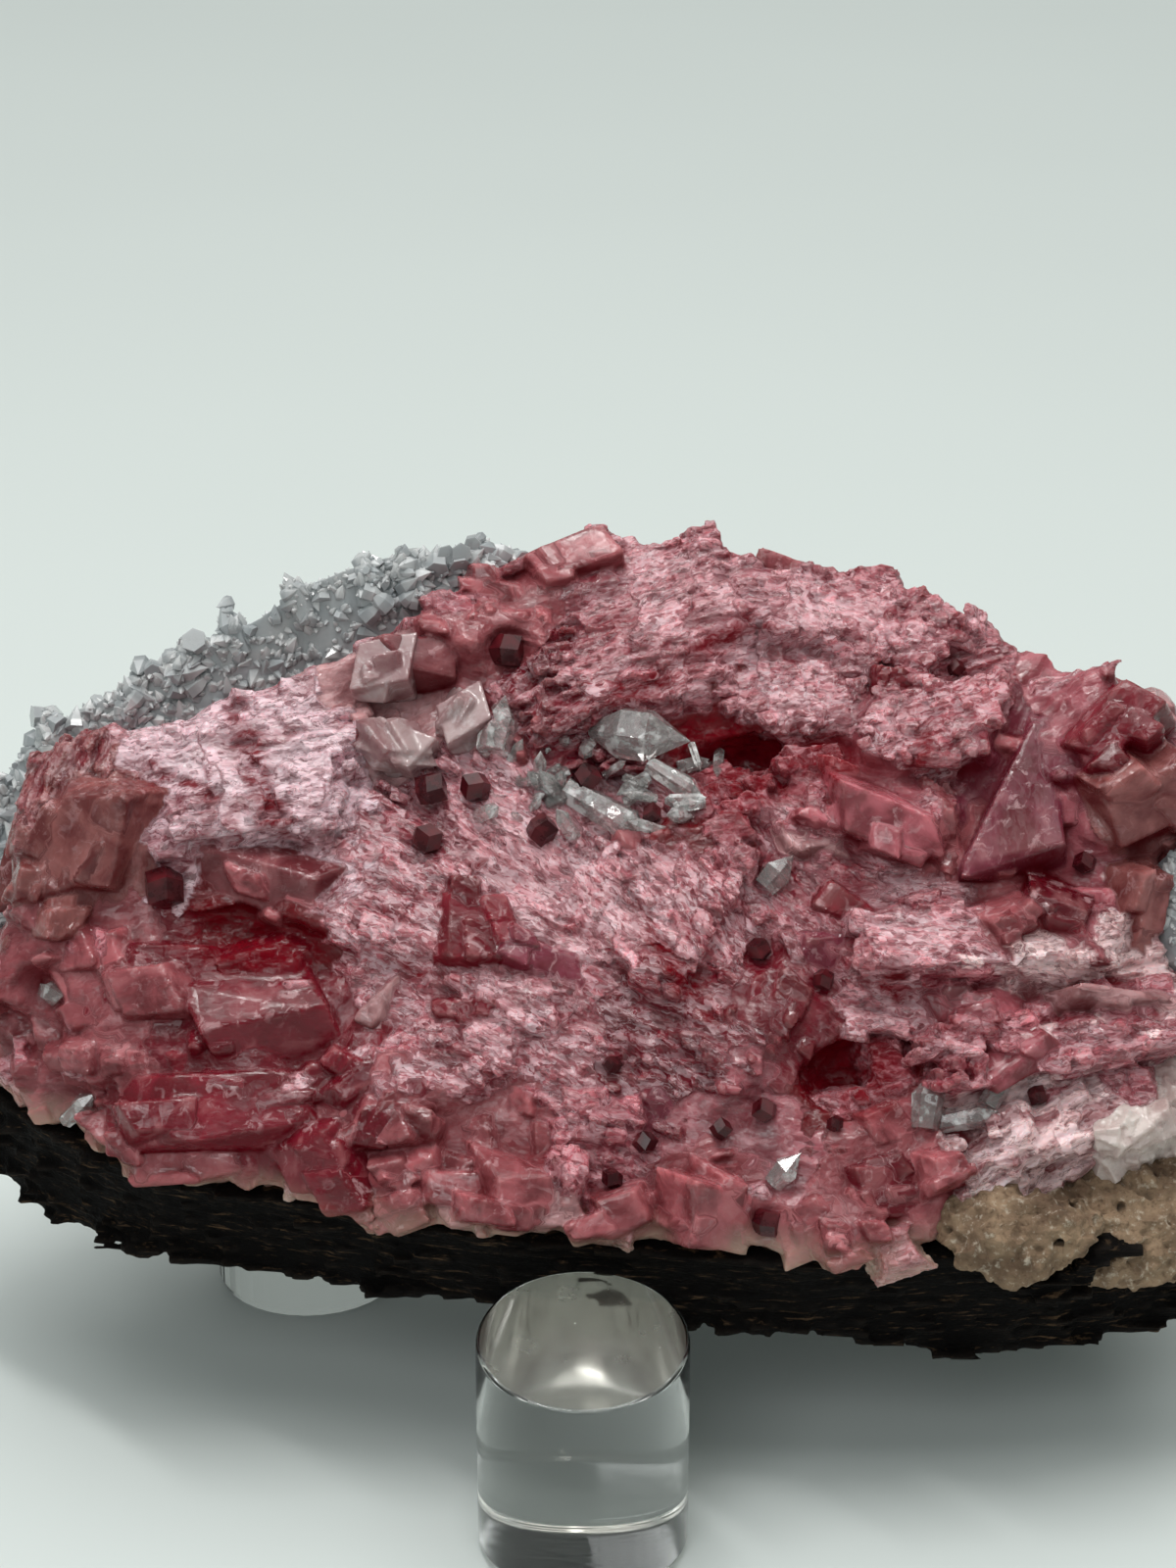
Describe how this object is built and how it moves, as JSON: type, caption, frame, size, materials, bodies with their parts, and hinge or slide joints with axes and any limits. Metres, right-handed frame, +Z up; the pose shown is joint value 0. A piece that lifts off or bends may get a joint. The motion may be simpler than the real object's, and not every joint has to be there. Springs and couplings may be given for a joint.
{
  "type": "rhodochrosite specimen",
  "caption": "Plate of pink rhodochrosite with garnets and quartz on dark slate, standing tilted on clear acrylic pegs.",
  "frame": {"origin": "middle of the object's box, at the level that the pegs stand on", "axes": "+X from the left end to the right end as the front shows it, +Y to the back, +Z up"},
  "size_m": [0.171, 0.1054, 0.105],
  "materials": {
    "acrylic": "polished, clear",
    "slate": "rough, foliated",
    "crust": "granular, dull",
    "milky_quartz": "sugary, translucent",
    "druse": "sparkling, translucent",
    "rhodochrosite": "silky cleavage, translucent",
    "garnet": "glassy",
    "clear_quartz": "glassy, clear",
    "pale_rhomb": "translucent, smooth"
  },
  "bodies": {
    "root": {"acrylic_peg_front": "acrylic", "acrylic_peg_rear_left": "acrylic", "acrylic_peg_rear_right": "acrylic", "slate_matrix": "slate", "weathered_crust": "crust", "milky_quartz": "milky_quartz", "quartz_druse_left": "druse", "quartz_druse_right": "druse", "rhodochrosite_mass": "rhodochrosite", "garnet_01": "garnet", "garnet_02": "garnet", "garnet_03": "garnet", "garnet_04": "garnet", "garnet_05": "garnet", "garnet_06": "garnet", "garnet_07": "garnet", "garnet_08": "garnet", "garnet_09": "garnet", "garnet_10": "garnet", "garnet_11": "garnet", "garnet_12": "garnet", "garnet_13": "garnet", "garnet_14": "garnet", "garnet_15": "garnet", "garnet_16": "garnet", "garnet_17": "garnet", "garnet_18": "garnet", "garnet_19": "garnet", "garnet_20": "garnet", "pale_rhomb_01": "pale_rhomb", "pale_rhomb_02": "pale_rhomb", "pale_rhomb_03": "pale_rhomb", "quartz_point_01": "clear_quartz", "quartz_point_02": "clear_quartz", "quartz_point_03": "clear_quartz", "quartz_point_04": "clear_quartz", "quartz_point_05": "clear_quartz", "quartz_point_06": "clear_quartz", "quartz_point_07": "clear_quartz", "quartz_point_08": "clear_quartz", "quartz_point_09": "clear_quartz", "quartz_point_10": "clear_quartz", "quartz_point_11": "clear_quartz", "quartz_point_12": "clear_quartz"}
  },
  "joints": []
}
